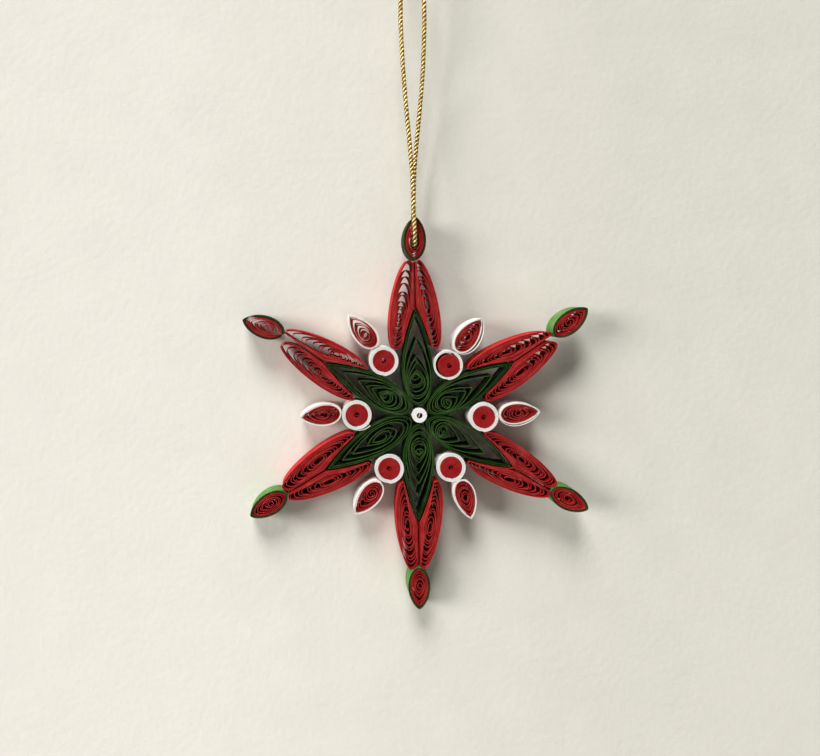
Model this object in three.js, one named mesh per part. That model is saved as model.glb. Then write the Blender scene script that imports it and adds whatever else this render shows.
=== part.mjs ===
// Quilled paper snowflake ornament: paper strips rolled into coils, pinched to shape and glued side by side,
// hung on a loop of gold cord.
// Millimetres, +Z up, front facing -Y. The origin is where a hook bears in the top of the cord's loop.
import * as THREE from "three";

// Paper strip
const STRIP_WIDTH = 5;
const PAPER = 0.18;
const GLUE_GAP = 0.2;
const SLIDE_STEP = 0.02;

// Green petals, the inner star
const GREEN_LENGTH = 25.1;
const GREEN_WIDTH = 7.8;
const GREEN_RIM = 0.75;

// Red petals, two to an arm, their outer ends standing at least this far past the green petal's tip
const RED_LENGTH = 23;
const RED_WIDTH = 5.1;
const RED_RIM = 0.7;
const RED_PAST_GREEN = 11.9;

// Arm tips, a red coil wrapped in green
const TIP_LENGTH = 11;
const TIP_WIDTH = 5.7;
const TIP_WRAP = 0.45;
const TIP_RIM = 0.4;
const TIP_EYE = 4.1;

// Drops between the arms, a red coil wrapped in white
const DROP_LENGTH = 10.6;
const DROP_WIDTH = 5.7;
const DROP_WRAP = 0.5;
const DROP_RIM = 0.4;

// Berries, a tight red coil in a white ring, and the tight white peg at the centre
const BERRY_DIAMETER = 7.5;
const BERRY_RING = 1.15;
const BERRY_EYE = 0.9;
const PEG_DIAMETER = 3.8;
const PEG_EYE = 0.8;
const SEAM = 0.12;

// How the hand-made piece is set, in degrees, from the top arm clockwise. Red petals lean in towards the line
// of their arm; all other angles are anticlockwise. A side is the way that a piece was pushed from, off the
// middle line of its arm or of the space between two arms.
const ARMS = 6;
const ARM_LEAN = [1.4, -1.6, -0.5, -1.1, -0.7, -0.3];
const RED_RIGHT_LEAN = [9.6, 9, 6.7, 5.4, 6.8, 4.6];
const RED_LEFT_LEAN = [10.8, 6.8, 5.8, 8.2, 7.6, 7.5];
const TIP_SIDE = [-0.3, 1.5, -0.4, 0.3, 0.4, -1.8];
const TIP_LEAN = [-3, 9, 2.5, 1, 1, 10];
const BERRY_SIDE = [-0.2, -1.6, 1, 0.5, -1, 1.8];
const DROP_SIDE = [-4, 6, 8, -1, -10, -2];
const DROP_LEAN = [-8, 5.5, -14, -9, 6.5, 8.5];

// Hanging cord: a loop through the eye of the top tip, tied at the top. Its route runs from the knot
// down the front, through the eye and up the back.
const CORD_DIAMETER = 1.1;
const CORD_SIDES = 8;
const CORD_STEPS = 54;
const EYE_BELOW_HOOK = 72.5;
const CORD_ROUTE = [
  [-0.65, 0, 1.9],
  [-1.3, 0, 0.5],
  [-2.2, -0.1, -4],
  [-2.85, -0.4, -9],
  [-3.1, -0.7, -14.5],
  [-3.1, -1, -20],
  [-2.8, -1.45, -28.6],
  [-2.3, -1.9, -37.4],
  [-1.7, -2.3, -45.7],
  [-1.3, -2.6, -51.3],
  [-1.05, -2.9, -56],
  [-0.95, -3.15, -61],
  [-0.9, -3.3, -65.5],
  [-0.75, -3.3, -69],
  [-0.6, -2.75, -71.8],
  [-0.6, -1.6, -73.1],
  [-0.6, 0, -73.6],
  [-0.6, 1.6, -73.1],
  [-0.6, 2.75, -71.8],
  [-0.35, 3.3, -69],
  [-0.05, 3.3, -65.5],
  [0.1, 3.1, -61],
  [0.25, 2.9, -56],
  [0.42, 2.6, -52.8],
  [0.78, 2.4, -48.5],
  [1.35, 2.15, -42.7],
  [1.88, 1.85, -37.4],
  [2.65, 1.45, -28.6],
  [3, 1, -20],
  [3.05, 0.7, -14.5],
  [2.82, 0.4, -9],
  [2.2, 0.1, -4],
  [1.3, 0, 0.5],
  [0.65, 0, 1.9],
];
const KNOT_DIAMETER = 3;
const KNOT_HEIGHT = 3.2;
const KNOT_ABOVE_HOOK = 2.2;
const TAIL_DIAMETER = 1.6;
const TAIL_LENGTH = 4;

const RED = new THREE.MeshStandardMaterial({ color: 0xb3262f, roughness: 0.85 });
const GREEN = new THREE.MeshStandardMaterial({ color: 0x24552a, roughness: 0.85 });
const WHITE = new THREE.MeshStandardMaterial({ color: 0xf3f0ea, roughness: 0.9 });
const GOLD = new THREE.MeshStandardMaterial({ color: 0xc49a3a, roughness: 0.35, metalness: 0.8 });

// A coil is a leaf along +y, from its inner end at the origin. An end of 0.5 is round and one of 1 is a
// straight-sided point, so equal length and width with two ends of 0.5 give a round coil. Pressed is how much
// straighter the left side runs to the inner end.
function leaf({ length, width, innerEnd = 0.5, outerEnd = 0.5, pressed = 0, facets }) {
  return { start: 0, length, width, innerEnd, outerEnd, pressed, facets };
}

// The leaf that is left inside a wall of pressed turns, which lie deeper in the pinched ends.
function inside(outer, wall) {
  const widest = outer.innerEnd / (outer.innerEnd + outer.outerEnd);
  const depth = (end, run) => {
    const pinched = Math.hypot(run, outer.width / 2) / (outer.width / 2);
    return wall * (1 + (pinched - 1) * (2 * end - 1));
  };
  const innerDepth = depth(outer.innerEnd, widest * outer.length);
  const outerDepth = depth(outer.outerEnd, (1 - widest) * outer.length);
  return {
    ...outer,
    start: outer.start + innerDepth,
    length: outer.length - innerDepth - outerDepth,
    width: outer.width - 2 * wall,
  };
}

// Outlines are anticlockwise lists of points.
function outlineOf({ start, length, width, innerEnd, outerEnd, pressed, facets }) {
  const side = (halfWidth, end) => (i) => {
    const widest = end / (end + outerEnd);
    const share = (1 - Math.cos((Math.PI * i) / facets)) / 2;
    const swell = (share / widest) ** end * ((1 - share) / (1 - widest)) ** outerEnd;
    return new THREE.Vector2(halfWidth * swell, start + length * share);
  };
  const right = side(width / 2, innerEnd);
  const left = side(-width / 2, innerEnd + pressed);
  const steps = Array.from({ length: facets }, (_, i) => i);
  return [...steps.map(right), ...steps.map((i) => left(facets - i))];
}

function placed(outline, { at = new THREE.Vector2(), turn = 0 }) {
  const origin = new THREE.Vector2();
  return outline.map((p) => p.clone().rotateAround(origin, turn).add(at));
}

function mirrored(outline) {
  return outline.map((p) => new THREE.Vector2(-p.x, p.y)).reverse();
}

// A turn is an angle anticlockwise from straight up.
function outwards(turn, distance) {
  return new THREE.Vector2(0, distance).rotateAround(new THREE.Vector2(), turn);
}

function edgeNormal(from, to) {
  return new THREE.Vector2(to.y - from.y, from.x - to.x).normalize();
}

// The outward direction at a corner, as long as it takes to move both of its edges by 1. The first and last
// points of an open path have one edge only.
function cornerNormal(before, corner, after) {
  const arriving = before ? edgeNormal(before, corner) : edgeNormal(corner, after);
  const leaving = after ? edgeNormal(corner, after) : arriving;
  return arriving.clone().add(leaving).divideScalar(1 + arriving.dot(leaving));
}

// How far one outline stays outside the edges of another; negative where they overlap.
function clearance(outline, other) {
  const gaps = outline.map((corner, i) => {
    const normal = edgeNormal(corner, outline[(i + 1) % outline.length]);
    return Math.min(...other.map((p) => normal.dot(p.clone().sub(corner))));
  });
  return Math.max(...gaps);
}

function apart(outline, ...others) {
  return others.every((other) => Math.max(clearance(outline, other), clearance(other, outline)) >= GLUE_GAP);
}

// The distance at which a piece that is pushed in from outside comes to rest on its neighbours.
function pushedIn(clearsAt) {
  let inside = 0;
  let outside = 2 * (GREEN_LENGTH + RED_LENGTH + TIP_LENGTH + BERRY_DIAMETER + DROP_LENGTH);
  for (let i = 0; i < 40; i++) {
    const middle = (inside + outside) / 2;
    if (clearsAt(middle)) outside = middle;
    else inside = middle;
  }
  return outside;
}

// The distance at which a piece that is slid out from the middle first clears its neighbours.
function slidOut(clearsAt) {
  let distance = 0;
  while (!clearsAt(distance)) distance += SLIDE_STEP;
  return distance;
}

// Solids stand on z = 0, the snowflake's back, and are one strip's width deep.
function standing(outline, hole) {
  const shape = new THREE.Shape(outline);
  shape.holes.push(new THREE.Path(hole));
  return new THREE.ExtrudeGeometry(shape, { depth: STRIP_WIDTH, bevelEnabled: false });
}

// A rolled strip: its outer turns pressed into a closed rim, and one wall that leaves the rim and winds inwards
// round the eye. The hole is the spiral space beside that wall. Hollow is the share left open at the eye.
function rolledCoil(coil, { rim, wall, turns, eye, hollow }) {
  const rimFace = outlineOf(inside(coil, rim));
  const wallStart = outlineOf(inside(coil, rim + wall / 2));
  const round = rimFace.length;
  const leaves = Math.round(round / 4);
  const last = Math.round(turns * round);
  const middle = Array.from({ length: last + 1 }, (_, i) =>
    eye.clone().lerp(wallStart[(leaves + i) % round], 1 - ((1 - hollow) * i) / last),
  );
  const normals = middle.map((p, i) => cornerNormal(middle[i - 1], p, middle[i + 1]));
  const face = (side) => middle.map((p, i) => p.clone().addScaledVector(normals[i], (side * wall) / 2));
  const rimTurn = [...rimFace.slice(leaves), ...rimFace.slice(0, leaves)];
  return standing(outlineOf(coil), [...rimTurn, ...face(-1), ...face(1).slice(1).reverse()]);
}

// A tight round roll: pressed turns with a fine seam winding through them to the small eye.
function tightCoil(coil, eyeDiameter) {
  const turns = 1.3;
  const wall = ((coil.length - eyeDiameter) / 2 - turns * SEAM) / (turns + 2);
  const firstRadius = (coil.length - 3 * wall) / 2;
  const lastRadius = (eyeDiameter + wall) / 2;
  const eye = new THREE.Vector2(0, coil.start + coil.length / 2);
  return rolledCoil(coil, { rim: wall, wall, turns, eye, hollow: lastRadius / firstRadius });
}

function wrapRing(coil, thickness) {
  return standing(outlineOf(coil), outlineOf(inside(coil, thickness)));
}

function piece(name, geometry, material, { at = new THREE.Vector2(), turn = 0 } = {}) {
  const mesh = new THREE.Mesh(geometry, material.clone());
  mesh.name = name;
  mesh.position.set(at.x, at.y, 0);
  mesh.rotation.z = turn;
  return mesh;
}

// The coils
const greenLeaf = leaf({ length: GREEN_LENGTH, width: GREEN_WIDTH, innerEnd: 0.62, outerEnd: 1.1, facets: 6 });
const redLeaf = leaf({
  length: RED_LENGTH, width: RED_WIDTH, innerEnd: 0.75, outerEnd: 0.62, pressed: 0.22, facets: 5,
});
const tipLeaf = leaf({ length: TIP_LENGTH, width: TIP_WIDTH, innerEnd: 0.57, outerEnd: 0.7, facets: 5 });
const dropLeaf = leaf({ length: DROP_LENGTH, width: DROP_WIDTH, outerEnd: 0.75, facets: 5 });
const berryLeaf = leaf({ length: BERRY_DIAMETER, width: BERRY_DIAMETER, facets: 8 });
const pegLeaf = leaf({ length: PEG_DIAMETER, width: PEG_DIAMETER, facets: 5 });

// Where the pieces of an arm rest, worked out from the centre outwards on the arm that points straight up
const radians = (angles) => angles.map(THREE.MathUtils.degToRad);
const armTurns = radians(ARM_LEAN.map((lean, arm) => lean - (360 / ARMS) * arm));
const nextTurns = armTurns.map((_, arm) => armTurns[arm + 1] ?? armTurns[0] - 2 * Math.PI);
const narrowest = Math.min(...armTurns.map((turn, arm) => turn - nextTurns[arm]));

const pegAt = new THREE.Vector2(0, -PEG_DIAMETER / 2);
const pegPlaced = placed(outlineOf(pegLeaf), { at: pegAt });
const greenAt = outwards(0, pushedIn((distance) => {
  const petal = placed(outlineOf(greenLeaf), { at: outwards(0, distance) });
  return apart(petal, pegPlaced, placed(petal, { turn: narrowest }));
}));
const greenPlaced = placed(outlineOf(greenLeaf), { at: greenAt });

// A red petal on the right of the arm, half a glue gap off the line that it shares with its twin
function redRest(turn) {
  const turned = placed(outlineOf(redLeaf), { turn });
  const aside = GLUE_GAP / 2 - Math.min(...turned.map((p) => p.x));
  const redAt = (distance) => ({ at: new THREE.Vector2(aside, distance), turn });
  const resting = pushedIn((d) => apart(placed(outlineOf(redLeaf), redAt(d)), greenPlaced));
  const nearest = greenAt.y + GREEN_LENGTH + RED_PAST_GREEN - RED_LENGTH * Math.cos(turn);
  return redAt(Math.max(resting, nearest));
}
const redRights = radians(RED_RIGHT_LEAN).map(redRest);
const redLefts = radians(RED_LEFT_LEAN).map(redRest);
const redPairs = redRights.map((right, arm) => [
  placed(outlineOf(redLeaf), right),
  mirrored(placed(outlineOf(redLeaf), redLefts[arm])),
]);

const tipSides = radians(TIP_SIDE);
const tipRests = radians(TIP_LEAN).map((turn, arm) => {
  const tipAt = (distance) => ({ at: outwards(tipSides[arm], distance), turn });
  return tipAt(pushedIn((d) => apart(placed(outlineOf(tipLeaf), tipAt(d)), ...redPairs[arm])));
});

// Where the pieces between two arms rest
const sectorTurns = armTurns.map((turn, arm) => (turn + nextTurns[arm]) / 2);
const petals = armTurns.map((turn, arm) => {
  return [greenPlaced, ...redPairs[arm]].map((petal) => placed(petal, { turn }));
});
const besideSector = petals.map((own, arm) => [...own, ...petals[(arm + 1) % ARMS]]);
const berryRests = radians(BERRY_SIDE).map((side, sector) => {
  const turn = sectorTurns[sector] + side;
  const berryAt = (distance) => ({ at: outwards(turn, distance), turn });
  return berryAt(slidOut((d) => apart(placed(outlineOf(berryLeaf), berryAt(d)), ...besideSector[sector])));
});
const dropSides = radians(DROP_SIDE);
const dropRests = radians(DROP_LEAN).map((lean, sector) => {
  const berry = berryRests[sector];
  const neighbours = [placed(outlineOf(berryLeaf), berry), ...besideSector[sector]];
  const middle = berry.at.clone().add(outwards(berry.turn, BERRY_DIAMETER / 2));
  const dropAt = (distance) => ({
    at: middle.clone().add(outwards(sectorTurns[sector] + dropSides[sector], distance)),
    turn: sectorTurns[sector] + lean,
  });
  return dropAt(pushedIn((d) => apart(placed(outlineOf(dropLeaf), dropAt(d)), ...neighbours)));
});

// The rolled pieces, each made once and used round the snowflake
const greenCoil = rolledCoil(greenLeaf, {
  rim: GREEN_RIM, wall: PAPER, turns: 2.75, eye: new THREE.Vector2(0, 0.36 * GREEN_LENGTH), hollow: 0.16,
});
const redCoil = rolledCoil(redLeaf, {
  rim: RED_RIM, wall: PAPER, turns: 2.3, eye: new THREE.Vector2(0, 0.5 * RED_LENGTH), hollow: 0.22,
});
const tipEye = new THREE.Vector2(0, TIP_EYE);
const tipCoil = rolledCoil(inside(tipLeaf, TIP_WRAP + GLUE_GAP), {
  rim: TIP_RIM, wall: PAPER, turns: 1.2, eye: tipEye, hollow: 0.5,
});
const dropCoil = rolledCoil(inside(dropLeaf, DROP_WRAP + GLUE_GAP), {
  rim: DROP_RIM, wall: PAPER, turns: 1.4, eye: new THREE.Vector2(0, 0.4 * DROP_LENGTH), hollow: 0.3,
});
const tipWrap = wrapRing(tipLeaf, TIP_WRAP);
const dropWrap = wrapRing(dropLeaf, DROP_WRAP);
const berryRing = wrapRing(berryLeaf, BERRY_RING);
const berryCoil = tightCoil({ ...inside(berryLeaf, BERRY_RING + GLUE_GAP), facets: 6 }, BERRY_EYE);
const pegCoil = tightCoil(pegLeaf, PEG_EYE);

function makeArm(arm) {
  const group = new THREE.Group();
  const label = arm + 1;
  const left = new THREE.Group();
  left.add(piece(`red_petal_${label}_left`, redCoil, RED, redLefts[arm]));
  left.scale.x = -1;
  group.add(
    piece(`green_petal_${label}`, greenCoil, GREEN, { at: greenAt }),
    piece(`red_petal_${label}_right`, redCoil, RED, redRights[arm]),
    left,
    piece(`tip_core_${label}`, tipCoil, RED, tipRests[arm]),
    piece(`tip_wrap_${label}`, tipWrap, GREEN, tipRests[arm]),
  );
  group.rotation.z = armTurns[arm];
  return group;
}

function makeSector(sector) {
  const group = new THREE.Group();
  const label = sector + 1;
  group.add(
    piece(`berry_coil_${label}`, berryCoil, RED, berryRests[sector]),
    piece(`berry_ring_${label}`, berryRing, WHITE, berryRests[sector]),
    piece(`drop_core_${label}`, dropCoil, RED, dropRests[sector]),
    piece(`drop_wrap_${label}`, dropWrap, WHITE, dropRests[sector]),
  );
  return group;
}

// The flat snowflake stood upright, with the eye of its top tip below the hook
function makeFlake() {
  const flake = new THREE.Group();
  flake.add(piece("centre_peg", pegCoil, WHITE, { at: pegAt }));
  for (let i = 0; i < ARMS; i++) flake.add(makeArm(i), makeSector(i));
  const [eye] = placed(placed([tipEye], tipRests[0]), { turn: armTurns[0] });
  flake.rotation.x = Math.PI / 2;
  flake.position.set(0, STRIP_WIDTH / 2, -EYE_BELOW_HOOK - eye.y);
  return flake;
}

function makeCord() {
  const route = new THREE.CatmullRomCurve3(CORD_ROUTE.map((point) => new THREE.Vector3(...point)));
  const across = leaf({ length: CORD_DIAMETER, width: CORD_DIAMETER, facets: CORD_SIDES / 2 });
  const section = new THREE.Shape(placed(outlineOf(across), { at: new THREE.Vector2(0, -CORD_DIAMETER / 2) }));
  const tube = new THREE.ExtrudeGeometry(section, { steps: CORD_STEPS, extrudePath: route });
  return piece("hanging_cord", tube, GOLD);
}

// The tied knot, with its two trimmed ends standing together above it
function makeKnot() {
  const profile = [
    [0, 0],
    [0.3 * KNOT_DIAMETER, 0],
    [0.46 * KNOT_DIAMETER, 0.2 * KNOT_HEIGHT],
    [0.5 * KNOT_DIAMETER, 0.5 * KNOT_HEIGHT],
    [0.44 * KNOT_DIAMETER, 0.82 * KNOT_HEIGHT],
    [TAIL_DIAMETER / 2, KNOT_HEIGHT],
    [TAIL_DIAMETER / 2, KNOT_HEIGHT + TAIL_LENGTH],
    [0, KNOT_HEIGHT + TAIL_LENGTH],
  ];
  const knot = new THREE.LatheGeometry(profile.map((point) => new THREE.Vector2(...point)), 10);
  const mesh = piece("cord_knot", knot, GOLD);
  mesh.rotation.x = Math.PI / 2;
  mesh.position.z = KNOT_ABOVE_HOOK;
  return mesh;
}

const snowflake = new THREE.Group();
snowflake.add(makeFlake(), makeCord(), makeKnot());

export default snowflake;
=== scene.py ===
# %% [markdown]
# # A quilled paper snowflake
#
# Quilling is the craft of rolling narrow paper strips into coils, pinching the coils to shape and
# gluing them side by side on their edges. This snowflake has six green petals round a white peg,
# two red petals and a wrapped tip on every arm, and a berry and a drop between the arms. It hangs
# on a loop of gold cord.
#
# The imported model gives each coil's place and outline. Here every coil is rolled again from a
# real strip, so that each turn of paper shows its edge and its wall.

# %% Load the frame
import math
import random
from dataclasses import dataclass, replace
from itertools import combinations
from typing import Callable

import bmesh
import bpy
from mathutils import Matrix, Vector
from mathutils.geometry import interpolate_bezier


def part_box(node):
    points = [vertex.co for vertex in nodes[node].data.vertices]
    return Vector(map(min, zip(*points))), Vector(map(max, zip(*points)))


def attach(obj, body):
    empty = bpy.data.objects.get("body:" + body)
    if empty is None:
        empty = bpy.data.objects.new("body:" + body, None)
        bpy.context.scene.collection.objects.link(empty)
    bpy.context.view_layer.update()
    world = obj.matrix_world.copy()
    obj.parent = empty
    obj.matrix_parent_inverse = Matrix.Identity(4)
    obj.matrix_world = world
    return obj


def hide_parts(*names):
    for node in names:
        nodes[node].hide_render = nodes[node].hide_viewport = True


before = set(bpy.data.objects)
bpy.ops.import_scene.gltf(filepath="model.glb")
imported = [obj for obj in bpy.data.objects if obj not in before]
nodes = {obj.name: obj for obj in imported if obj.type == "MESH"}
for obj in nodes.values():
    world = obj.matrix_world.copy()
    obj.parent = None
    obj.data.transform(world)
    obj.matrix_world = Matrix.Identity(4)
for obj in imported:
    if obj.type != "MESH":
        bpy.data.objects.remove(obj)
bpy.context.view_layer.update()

scene = bpy.context.scene
MM = 0.001
ARMS = range(1, 7)
print("nodes:", len(nodes))

# %% [markdown]
# ## Camera
#
# The picture was taken close up, from a little to the left of the snowflake and above it, which
# is why the left and upper walls of the outer coils show. A camera that points straight at the
# paper and is shifted keeps the star regular, and one that is turned makes its far side smaller.
# This one is turned a little and shifted for the rest. The middle of the peg is put on the pixel
# where the picture has it.

# %% Camera place
CAMERA_LEFT, CAMERA_UP, CAMERA_AWAY = 27 * MM, 30 * MM, 165 * MM
CAMERA_YAW, CAMERA_PITCH, CAMERA_ROLL = (math.radians(turn) for turn in (0.8, 2.2, -1.08))

peg_low, peg_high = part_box("centre_peg")
flake_centre = (peg_low + peg_high) / 2
peg_front = Vector((flake_centre.x, peg_low.y, flake_centre.z))

lens = bpy.data.cameras.new("camera")
camera = bpy.data.objects.new("camera", lens)
scene.collection.objects.link(camera)
scene.camera = camera
camera.matrix_world = (
    Matrix.Translation(peg_front + Vector((-CAMERA_LEFT, -CAMERA_AWAY, CAMERA_UP)))
    @ Matrix.Rotation(-CAMERA_YAW, 4, "Z")
    @ Matrix.Rotation(math.radians(90) - CAMERA_PITCH, 4, "X")
    @ Matrix.Rotation(CAMERA_ROLL, 4, "Z")
)
print("camera at, mm:", [round(place / MM, 1) for place in camera.matrix_world.translation])

# %% Lens
PICTURE_WIDTH, PICTURE_HEIGHT = 820, 756
PEG_COLUMN, PEG_ROW = 419.5, 415.5
MM_PER_PIXEL = 0.2514
NEAREST_SEEN = 5 * MM

seen = camera.matrix_world.inverted() @ peg_front
lens.sensor_width = 36
lens.lens = lens.sensor_width * -seen.z / (PICTURE_WIDTH * MM_PER_PIXEL * MM)
on_sensor = lens.lens / lens.sensor_width / -seen.z
lens.shift_x = seen.x * on_sensor - (PEG_COLUMN - PICTURE_WIDTH / 2) / PICTURE_WIDTH
lens.shift_y = seen.y * on_sensor + (PEG_ROW - PICTURE_HEIGHT / 2) / PICTURE_WIDTH
lens.clip_start = NEAREST_SEEN
print("lens", round(lens.lens, 1), "shift", round(lens.shift_x, 3), round(lens.shift_y, 3))

# %% [markdown]
# ## Paper finishes
#
# Quilling paper is plain coloured paper, a little mottled by its fibres and with a faint tooth.
# One flat colour would make it look like plastic, so a node group mixes a shade and a fleck of
# each colour by noise. Every paper gets four finishes, lit and shaded copies of the one paper:
# its outer wall carries painted light on the green wraps and painted shade on the green petals,
# its cut edge, which faces the viewer, looks deeper, the walls inside the coil carry painted
# shade and look darkest, and the edges of the loose turns carry a painted highlight and look
# paler. All of them use the one group, each with its own two colours.

# %% Node helpers
def noise_on(tree, scale, detail=2.0):
    """Noise that is fixed to the object, so it stays in place from every side."""
    where = tree.nodes.new("ShaderNodeTexCoord")
    noise = tree.nodes.new("ShaderNodeTexNoise")
    noise.inputs["Scale"].default_value = scale
    noise.inputs["Detail"].default_value = detail
    tree.links.new(where.outputs["Object"], noise.inputs["Vector"])
    return noise.outputs["Fac"]


def stretched(tree, value, given=(0, 1), wanted=(0, 1)):
    """The value, stretched from the given range to the wanted one."""
    node = tree.nodes.new("ShaderNodeMapRange")
    sockets = ("From Min", "From Max", "To Min", "To Max")
    for socket, limit in zip(sockets, (*given, *wanted)):
        node.inputs[socket].default_value = limit
    tree.links.new(value, node.inputs["Value"])
    return node.outputs["Result"]


def bumped(tree, height, strength, depth):
    """The surface's normal, tilted where the height changes."""
    node = tree.nodes.new("ShaderNodeBump")
    node.inputs["Strength"].default_value = strength
    node.inputs["Distance"].default_value = depth
    tree.links.new(height, node.inputs["Height"])
    return node.outputs["Normal"]


def two_colours(tree, share):
    """A node that goes from its colour A to its colour B with the share."""
    node = tree.nodes.new("ShaderNodeMix")
    node.data_type = "RGBA"
    tree.links.new(share, node.inputs["Factor"])
    return node


print("node helpers:", [made.__name__ for made in (noise_on, stretched, bumped, two_colours)])

# %% Paper fibre group
BLOTCH_SCALE, BLOTCH_DETAIL = 420, 4
FIBRE_SCALE, FIBRE_DETAIL = 2600, 3
FLECKED = (0.35, 0.7)
PAPER_ROUGHNESS = (0.72, 0.95)
TOOTH_STRENGTH, TOOTH_DEPTH = 0.25, 0.04 * MM
FIBRE_SOCKETS = [
    ("Shade", "INPUT", "NodeSocketColor"), ("Fleck", "INPUT", "NodeSocketColor"),
    ("Color", "OUTPUT", "NodeSocketColor"), ("Roughness", "OUTPUT", "NodeSocketFloat"),
    ("Normal", "OUTPUT", "NodeSocketVector"),
]


def paper_fibre_group():
    group = bpy.data.node_groups.new("paper_fibre", "ShaderNodeTree")
    for name, way, kind in FIBRE_SOCKETS:
        group.interface.new_socket(name, in_out=way, socket_type=kind)
    given, out = group.nodes.new("NodeGroupInput"), group.nodes.new("NodeGroupOutput")
    blotches = noise_on(group, BLOTCH_SCALE, BLOTCH_DETAIL)
    fibres = noise_on(group, FIBRE_SCALE, FIBRE_DETAIL)
    colour = two_colours(group, stretched(group, blotches, given=FLECKED))
    roughness = stretched(group, fibres, wanted=PAPER_ROUGHNESS)
    normal = bumped(group, fibres, TOOTH_STRENGTH, TOOTH_DEPTH)
    group.links.new(given.outputs["Shade"], colour.inputs["A"])
    group.links.new(given.outputs["Fleck"], colour.inputs["B"])
    group.links.new(colour.outputs["Result"], out.inputs["Color"])
    group.links.new(roughness, out.inputs["Roughness"])
    group.links.new(normal, out.inputs["Normal"])
    return group


paper_fibre = paper_fibre_group()
print("group", paper_fibre.name, "with", len(paper_fibre.nodes), "nodes")

# %% Paper finish
PAPER_GLOSS = 0.05


def linear(red, green, blue):
    """A colour as a picture gives it, 0 to 255, as the amounts of light that a shader takes."""
    shares = [channel / 255 for channel in (red, green, blue)]
    return (*[s / 12.92 if s <= 0.04045 else ((s + 0.055) / 1.055) ** 2.4 for s in shares], 1)


def new_finish(name):
    """A new material, with its node tree and its shader."""
    finish = bpy.data.materials.new(name)
    finish.use_nodes = True
    return finish, finish.node_tree, finish.node_tree.nodes["Principled BSDF"]


def paper_finish(name, shade, fleck):
    finish, tree, shader = new_finish(name)
    shader.inputs["Specular IOR Level"].default_value = PAPER_GLOSS
    fibre = tree.nodes.new("ShaderNodeGroup")
    fibre.node_tree = paper_fibre
    fibre.inputs["Shade"].default_value = linear(*shade)
    fibre.inputs["Fleck"].default_value = linear(*fleck)
    tree.links.new(fibre.outputs["Color"], shader.inputs["Base Color"])
    tree.links.new(fibre.outputs["Roughness"], shader.inputs["Roughness"])
    tree.links.new(fibre.outputs["Normal"], shader.inputs["Normal"])
    return finish


def paper_set(name, wall, edge, shaded_inner_wall, lit_loose_edge):
    """The four finishes of one paper, lit and shaded copies, each from its shade and its fleck."""
    parts = {"wall": wall, "edge": edge, "shaded_inner_wall": shaded_inner_wall, "lit_loose_edge": lit_loose_edge}
    return [paper_finish(f"{name}_{part}", *colours) for part, colours in parts.items()]


print("a middle grey gives back", round(linear(128, 128, 128)[0], 3), "of the light")

# %% Paper colours
# Past each edge colour these are painted light and shade: the green wraps' walls are painted light,
# the green petals' walls painted shade, every inner wall painted shade, and the red and petal-green
# loose edges a paler painted highlight.
WHITE_EDGE = ((247, 245, 240), (253, 252, 249))
WRAP_EDGE = ((44, 54, 26), (62, 70, 34))
SHADED_WRAP_EDGE = ((38, 42, 20), (54, 58, 28))

RED_PAPER = paper_set(
    "red", wall=((172, 38, 38), (190, 54, 52)), edge=((168, 32, 35), (188, 49, 50)),
    shaded_inner_wall=((128, 16, 17), (152, 26, 27)), lit_loose_edge=((174, 39, 39), (196, 64, 62)))
PETAL_GREEN = paper_set(
    "petal_green", wall=((28, 54, 18), (40, 70, 26)), edge=((31, 61, 20), (49, 84, 32)),
    shaded_inner_wall=((13, 28, 8), (22, 41, 14)), lit_loose_edge=((54, 86, 36), (78, 114, 54)))
WRAP_GREEN = paper_set(
    "wrap_green", wall=((84, 125, 63), (104, 145, 85)), edge=WRAP_EDGE,
    shaded_inner_wall=((40, 60, 28), (52, 74, 36)), lit_loose_edge=WRAP_EDGE)
# The top and upper left tips' wraps are a darker copy of the green wrap paper: painted shade, as
# their walls lie out of the light.
SHADED_WRAP = paper_set(
    "shaded_wrap", wall=((46, 52, 28), (60, 68, 38)), edge=SHADED_WRAP_EDGE,
    shaded_inner_wall=((30, 40, 20), (40, 50, 26)), lit_loose_edge=SHADED_WRAP_EDGE)
WHITE_PAPER = paper_set(
    "white", wall=((226, 223, 216), (235, 233, 228)), edge=WHITE_EDGE,
    shaded_inner_wall=((212, 206, 198), (224, 219, 212)), lit_loose_edge=WHITE_EDGE)
# The peg's inner walls are painted deep shade, which darkens its eye and the slits between turns.
PEG_WHITE = paper_set(
    "peg_white", wall=((240, 237, 229), (249, 247, 242)), edge=WHITE_EDGE,
    shaded_inner_wall=((96, 90, 84), (118, 111, 104)), lit_loose_edge=WHITE_EDGE)
print("paper finishes:", sorted(material.name for material in bpy.data.materials))

# %% [markdown]
# ## The outline of a coil
#
# A pinched coil is a leaf with a round or pointed end, and a round coil is a leaf that is as wide
# as it is long. The frame's solids have few facets, so a copy of a solid's outline would show
# corners. Instead the ends of each solid and its widest reach are read from it, and the smooth
# leaf through those corners is drawn again. The solids keep a small gap to each other. The paper
# is grown by half of that gap, so that neighbours touch as glued coils do.

# %% Leaf outlines
@dataclass(frozen=True)
class Leaf:
    """A coil's outline. Along runs from its inner to its outer end, across to its right side.

    An end of 0.5 is round and an end of 1 is pointed. Pressed and snug change the ends of the
    left side. Full and room let that side swell until it meets its neighbours, and inset and
    scale say how far inside the outline a turn lies there.
    """
    base: Vector
    along: Vector
    across: Vector
    length: float
    width: float
    inner_end: float = 0.5
    outer_end: float = 0.5
    pressed: float = 0.0
    snug: float = 0.0
    full: float = 1.0
    room: Callable = None
    inset: float = 0.0
    scale: float = 1.0


def swell(leaf, share, right):
    """How wide one side is at a share of the length, where 1 is its widest."""
    inner = leaf.inner_end if right else leaf.inner_end + leaf.pressed
    outer = leaf.outer_end if right else leaf.outer_end - leaf.snug
    widest = inner / (inner + outer)
    return (share / widest) ** inner * ((1 - share) / (1 - widest)) ** outer


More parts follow.
